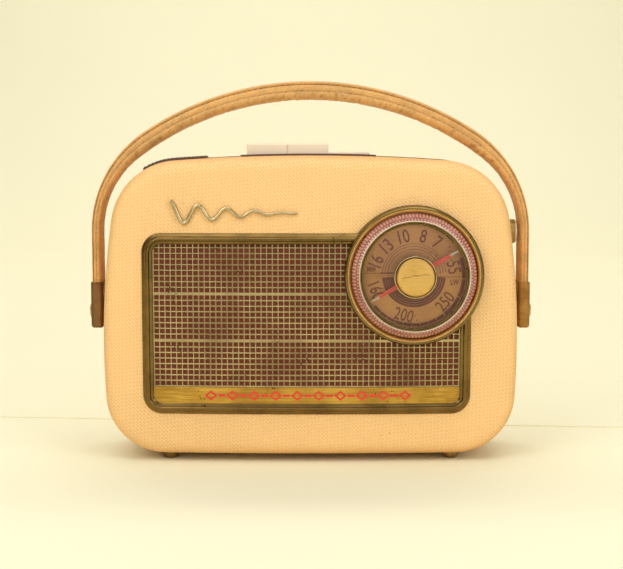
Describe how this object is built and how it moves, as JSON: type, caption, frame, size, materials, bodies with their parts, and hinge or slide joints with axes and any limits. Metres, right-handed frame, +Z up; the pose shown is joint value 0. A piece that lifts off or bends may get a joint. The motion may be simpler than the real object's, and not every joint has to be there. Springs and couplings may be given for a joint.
{
  "type": "portable transistor radio",
  "caption": "Portable transistor radio: bow-sided grained case, punched brass grille, round tuning dial, push keys on top, side volume knob and a swinging padded carrying strap.",
  "frame": {"origin": "on the table, under the middle of the whole radio", "axes": "+Z up, -Y out of the front (grille and dial), +X to the right of someone facing the front"},
  "size_m": [0.2918, 0.1054, 0.2436],
  "materials": {
    "leatherette": "grained tan covering with slight wear",
    "cover_leatherette": "grained tan covering",
    "trim_brass": "dull polished brass",
    "foot_brass": "tarnished brass",
    "grille_brass": "satin, punched with small square holes",
    "grille_cloth": "dark red-brown weave",
    "bezel_brass": "polished, pitted by age",
    "board_wood": "plain plywood",
    "emblem_brass": "polished",
    "dial_brass": "polished",
    "dial_plate": "satin with dark red-brown print",
    "clear_knob": "clear moulded plastic",
    "pointer_red": "red",
    "cap_brass": "brushed gilt",
    "steel": "plain",
    "aluminium": "plain",
    "cone_paper": "black felted paper",
    "magnet": "grey enamel",
    "basket": "zinc plated",
    "board_laminate": "brown laminate",
    "can_metal": "drawn cans",
    "transistor_can": "black enamel",
    "electrolytic": "blue sleeve",
    "core": "black laminations",
    "pillar": "turned",
    "screws": "zinc plated",
    "ferrite": "dark grey ferrite",
    "winding": "waxed wire winding",
    "holder": "cream moulding",
    "tray": "dark moulding",
    "cell": "plain red jacket",
    "contact": "plated spring strip",
    "escutcheon": "dark brown moulding",
    "key_ivory": "aged ivory",
    "spring_steel": "wound wire",
    "insulator": "paper laminate",
    "pot": "pressed can",
    "knob_brass": "knurled",
    "knob_face": "cream",
    "strap_leather": "tan, padded, stitched and creased",
    "ferrule_brass": "folded, tarnished",
    "pivot_brass": "domed heads",
    "bush_brass": "turned",
    "nut_steel": "zinc plated",
    "socket_brown": "ribbed dark brown moulding",
    "cover_screw": "coin slotted",
    "post": "turned"
  },
  "bodies": {
    "case": {"front_shell": "leatherette", "trim_band": "trim_brass", "feet_front": "foot_brass", "grille_panel": "grille_brass", "grille_cloth": "grille_cloth", "grille_bezel": "bezel_brass", "baffle_board": "board_wood", "wave_emblem": "emblem_brass", "dial_bezel": "dial_brass", "dial_plate": "dial_plate", "capacitor_frame": "aluminium", "capacitor_stator": "aluminium", "speaker_frame": "basket", "speaker_cone": "cone_paper", "speaker_magnet": "magnet", "circuit_board": "board_laminate", "if_cans": "can_metal", "transistors": "transistor_can", "electrolytics": "electrolytic", "transformers": "core", "board_pillars": "pillar", "chassis_screws": "screws", "ferrite_rod": "ferrite", "aerial_coils": "winding", "rod_holders": "holder", "battery_tray": "tray", "battery_cells": "cell", "battery_contacts": "contact", "key_escutcheon": "escutcheon", "key_spring_left": "spring_steel", "key_spring_middle": "spring_steel", "key_spring_right": "spring_steel", "switch_frame": "steel", "switch_contacts": "insulator", "volume_pot": "pot", "pivot_screws": "pivot_brass", "pivot_bushes": "bush_brass", "pivot_nuts": "nut_steel", "aerial_cover": "socket_brown", "cover_posts": "post"},
    "rear_cover": {"rear_cover": "cover_leatherette", "feet_rear": "foot_brass"},
    "cover_screw_left": {"cover_screw_left": "cover_screw"},
    "cover_screw_right": {"cover_screw_right": "cover_screw"},
    "tuning": {"tuning_knob": "clear_knob", "tuning_pointer": "pointer_red", "knob_cap": "cap_brass", "tuning_shaft": "steel", "capacitor_rotor": "aluminium"},
    "volume": {"volume_shaft": "steel", "volume_knob": "knob_brass", "volume_knob_face": "knob_face"},
    "key_left": {"key_cap_left": "key_ivory", "key_plunger_left": "steel"},
    "key_middle": {"key_cap_middle": "key_ivory", "key_plunger_middle": "steel"},
    "key_right": {"key_cap_right": "key_ivory", "key_plunger_right": "steel"},
    "handle": {"carry_strap": "strap_leather", "ferrules": "ferrule_brass"}
  },
  "joints": [
    {"name": "tuning_turn", "type": "hinge", "parent": "case", "child": "tuning", "pos_m": [0.065, -0.03725, 0.1204], "axis": [0, -1, 0], "range_deg": [-32, 148]},
    {"name": "volume_turn", "type": "hinge", "parent": "case", "child": "volume", "pos_m": [0.13, 0.00675, 0.146], "axis": [1, 0, 0], "range_deg": [-135, 135]},
    {"name": "key_left_press", "type": "slide", "parent": "case", "child": "key_left", "axis": [0, 0, 1], "range_m": [-0.0052, 0], "stiffness_N_per_m": 250, "springref_m": 0.001, "deforming": ["key_spring_left"]},
    {"name": "key_middle_press", "type": "slide", "parent": "case", "child": "key_middle", "axis": [0, 0, 1], "range_m": [-0.0052, 0], "stiffness_N_per_m": 250, "springref_m": 0.001, "deforming": ["key_spring_middle"]},
    {"name": "key_right_press", "type": "slide", "parent": "case", "child": "key_right", "axis": [0, 0, 1], "range_m": [0, 0.0052], "deforming": ["key_spring_right"]},
    {"name": "handle_swing", "type": "hinge", "parent": "case", "child": "handle", "pos_m": [0, 0.00675, 0.0938], "axis": [1, 0, 0], "range_deg": [-120, 120]},
    {"name": "rear_cover_off", "type": "slide", "parent": "case", "child": "rear_cover", "axis": [0, 1, 0], "range_m": [0, 0.06]},
    {"name": "cover_screw_left_turn", "type": "hinge", "parent": "rear_cover", "child": "cover_screw_left", "pos_m": [-0.104, 0.04857, 0.095], "axis": [0, 1, 0], "range_deg": [0, 90]},
    {"name": "cover_screw_right_turn", "type": "hinge", "parent": "rear_cover", "child": "cover_screw_right", "pos_m": [0.104, 0.04857, 0.095], "axis": [0, 1, 0], "range_deg": [0, 90]}
  ]
}
